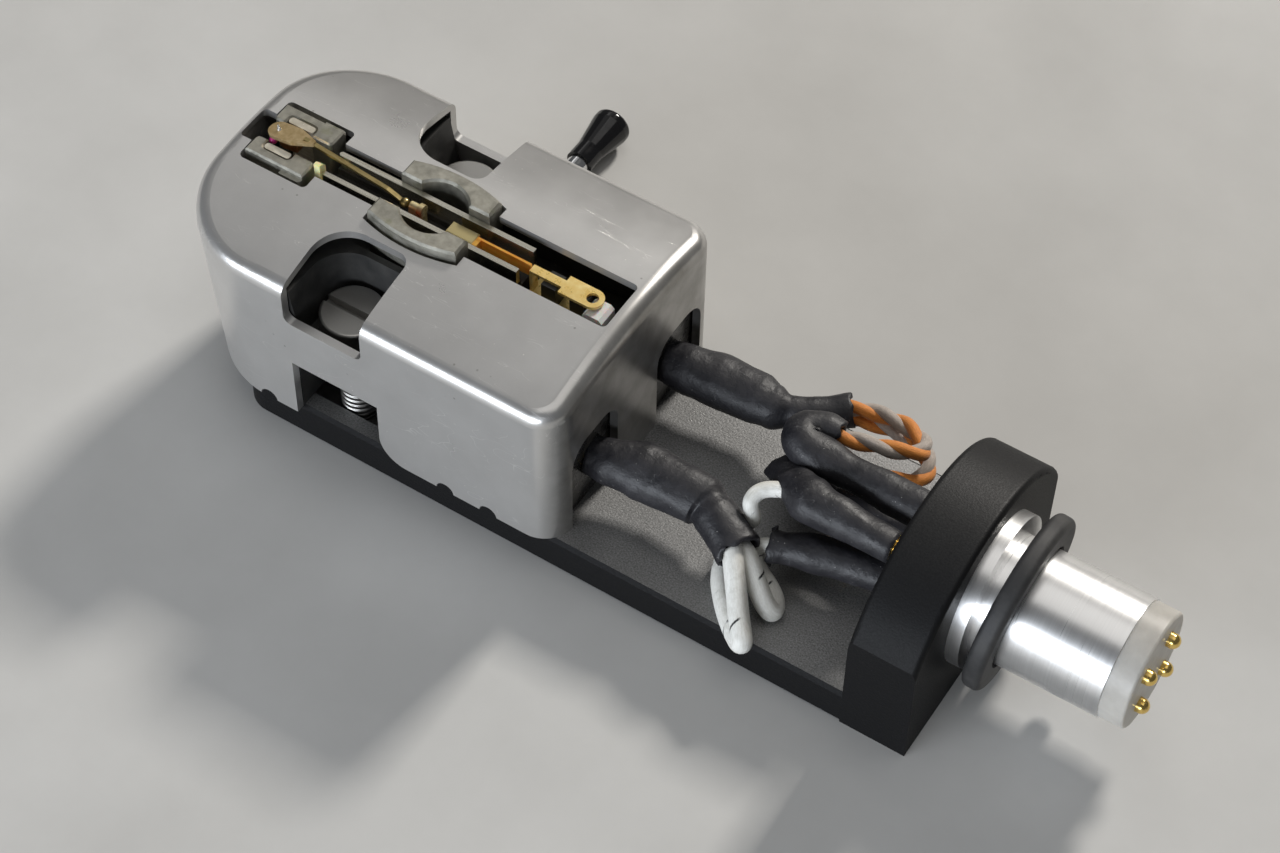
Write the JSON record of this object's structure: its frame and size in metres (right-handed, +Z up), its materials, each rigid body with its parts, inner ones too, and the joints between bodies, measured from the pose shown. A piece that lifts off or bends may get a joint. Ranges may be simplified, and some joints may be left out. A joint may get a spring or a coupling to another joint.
{
  "type": "turntable stylus cartridge",
  "caption": "Moving-coil phono cartridge in a satin metal cover, screwed to a black headshell with a bayonet plug, finger lift and looped lead wires.",
  "frame": {"origin": "middle of the headshell flange's back face, on the axis of the connector plug", "axes": "+X along the plug towards its contact pins, +Y towards the finger lift, +Z up from the headshell's outer face towards the stylus"},
  "size_m": [0.0673, 0.0341, 0.0174],
  "materials": {
    "arm_bronze": "bare bronze",
    "bead_magenta": "lacquer drop",
    "bracket_gold": "gold plated",
    "chassis_dark": "moulded",
    "chrome_rod": "polished",
    "clip_clear": "clear resin",
    "coil_copper": "enamelled wire",
    "contact_gold": "gold plated",
    "cover_satin": "satin, finely scratched",
    "damper_green": "soft",
    "diamond_clear": "polished",
    "gasket_rubber": "matt",
    "headshell_black": "bead blasted, black anodised",
    "insulator_milky": "moulded, milky",
    "magnet_grey": "ground",
    "pad_pale": "potted winding",
    "paddle_tan": "satin",
    "pole_grey": "plated, warm grey",
    "rail_pale": "plated",
    "screw_steel": "turned, slotted",
    "sleeve_charcoal": "heat shrunk",
    "spacer_black": "moulded",
    "terminal_dark": "potted",
    "tip_black": "glossy",
    "tube_aluminium": "turned, satin",
    "wedge_white": "translucent",
    "wire_beige": "insulated",
    "wire_orange": "insulated",
    "wire_white": "insulated",
    "yoke_grey": "cast, warm grey"
  },
  "bodies": {
    "cartridge": {"arm_anchor": "bracket_gold", "chassis": "chassis_dark", "clamp_yoke_far": "yoke_grey", "clamp_yoke_near": "yoke_grey", "clip_sleeve_far_lower": "sleeve_charcoal", "clip_sleeve_far_upper": "sleeve_charcoal", "clip_sleeve_near_lower": "sleeve_charcoal", "clip_sleeve_near_upper": "sleeve_charcoal", "coil_pad_far": "pad_pale", "coil_pad_near": "pad_pale", "connector_insulator": "insulator_milky", "connector_tube": "tube_aluminium", "contact_pin_far_lower": "contact_gold", "contact_pin_far_upper": "contact_gold", "contact_pin_near_lower": "contact_gold", "contact_pin_near_upper": "contact_gold", "cover_shell": "cover_satin", "damper_block": "damper_green", "finger_lift_rod": "chrome_rod", "finger_lift_tip": "tip_black", "headshell_body": "headshell_black", "lead_clips": "contact_gold", "lead_sleeve_far": "sleeve_charcoal", "lead_sleeve_near": "sleeve_charcoal", "lead_wire_far_lower": "wire_beige", "lead_wire_far_upper": "wire_orange", "lead_wire_near_lower": "wire_white", "lead_wire_near_upper": "wire_white", "locating_pin": "screw_steel", "magnet_block": "magnet_grey", "mounting_nut_far": "screw_steel", "mounting_nut_near": "screw_steel", "mounting_screw_far": "screw_steel", "mounting_screw_near": "screw_steel", "mounting_washer": "screw_steel", "pole_piece_far": "pole_grey", "pole_piece_near": "pole_grey", "rail_carrier": "pole_grey", "rail_far": "rail_pale", "rail_near": "rail_pale", "resin_clip": "clip_clear", "rubber_gasket": "gasket_rubber", "spacer_block_front": "spacer_black", "spacer_block_rear": "spacer_black", "tension_bracket": "bracket_gold", "tension_strip": "bracket_gold", "terminal_block": "terminal_dark", "terminal_pins": "contact_gold", "wedge_block": "wedge_white"},
    "stylus": {"stylus_arm": "arm_bronze", "stylus_paddle": "paddle_tan", "moving_coil": "coil_copper", "stylus_diamond": "diamond_clear", "stylus_bead": "bead_magenta"}
  },
  "joints": [
    {"name": "stylus_flex", "type": "hinge", "parent": "cartridge", "child": "stylus", "pos_m": [-0.0427, 0, 0.00851], "axis": [0, 1, 0], "range_deg": [-1.2, 1.2], "stiffness_Nm_per_rad": 0.02}
  ]
}
